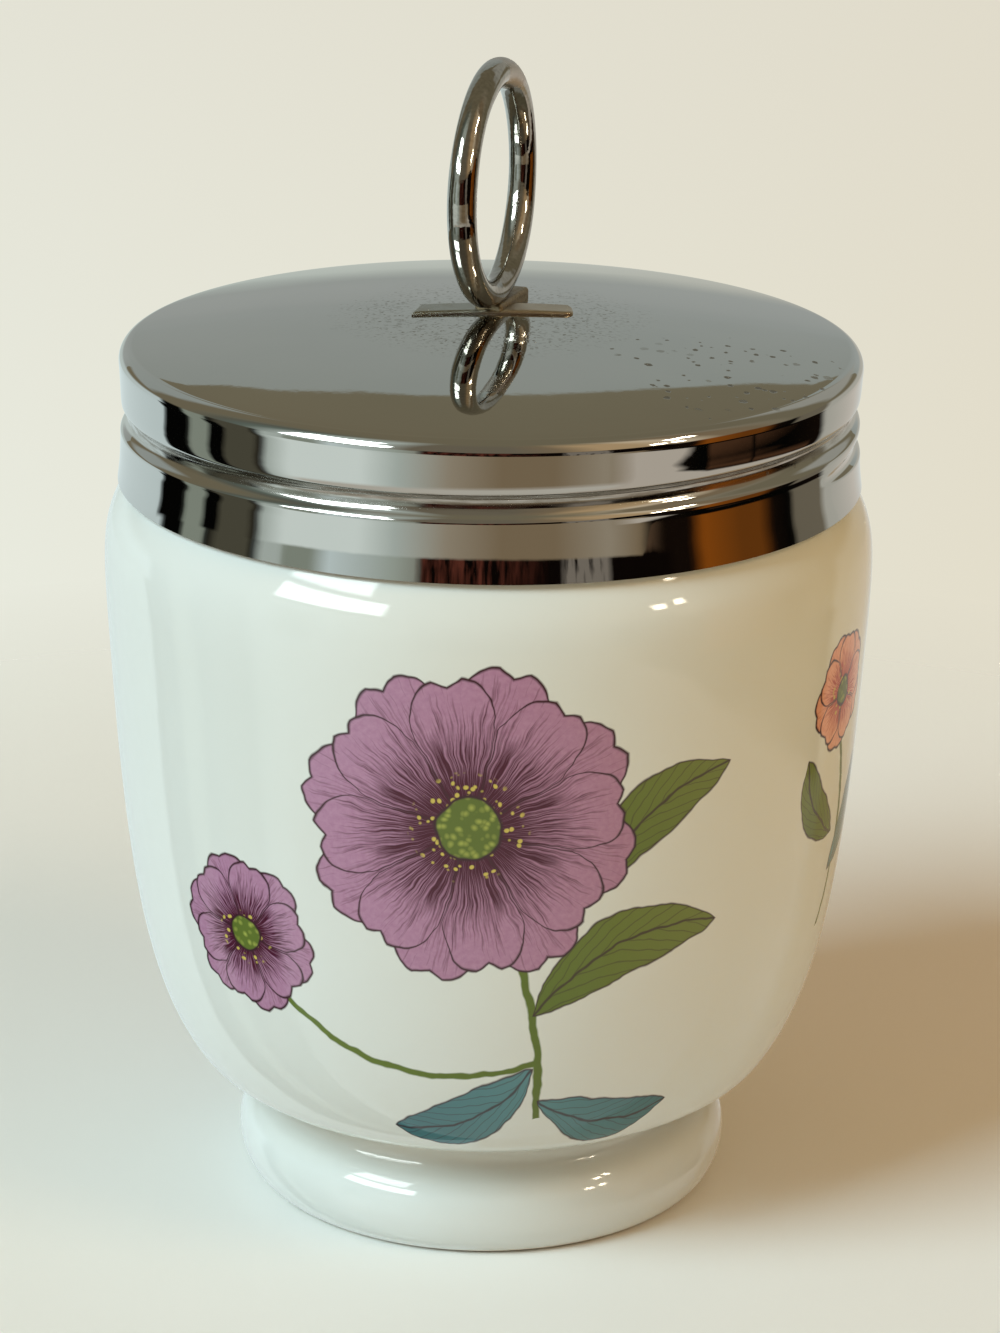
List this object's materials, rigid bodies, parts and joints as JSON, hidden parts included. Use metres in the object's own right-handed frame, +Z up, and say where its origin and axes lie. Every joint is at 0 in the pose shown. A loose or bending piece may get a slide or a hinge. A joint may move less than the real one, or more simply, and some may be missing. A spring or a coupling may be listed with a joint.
{
  "type": "egg coddler",
  "caption": "Small footed porcelain cup with a threaded neck, closed by a pressed metal screw lid with an upright wire lifting ring.",
  "frame": {"origin": "middle of the foot, on the surface the cup stands on", "axes": "+Z up along the cup's axis, through the lid and the lifting ring; -Y is the front; the ring's plane stands 74.4 degrees round from +X"},
  "size_m": [0.0655, 0.0656, 0.099],
  "materials": {
    "porcelain": "clear glossy glaze over white porcelain, with a printed flower decal; foot land unglazed",
    "lid_plate": "polished plate, lightly pitted round the ring",
    "ring_wire": "polished plate, worn dull in patches",
    "fixing_strip": "dulled plate",
    "seal": "matt, cream"
  },
  "bodies": {
    "cup": {"porcelain_cup": "porcelain"},
    "washer": {"sealing_washer": "seal"},
    "lid": {"screw_lid": "lid_plate", "lifting_ring": "ring_wire", "ring_strap": "fixing_strip", "ring_saddle": "fixing_strip"}
  },
  "joints": [
    {"name": "lid_lift", "type": "slide", "parent": "cup", "child": "washer", "axis": [0, 0, 1], "range_m": [0, 0.01821]},
    {"name": "lid_turn", "type": "hinge", "parent": "washer", "child": "lid", "pos_m": [0, 0, 0.07], "axis": [0, 0, 1], "range_deg": [0, 2520]}
  ],
  "couplings": [
    {"joint": "lid_lift", "follows": "lid_turn", "m_per_rad": 0.0004138}
  ]
}
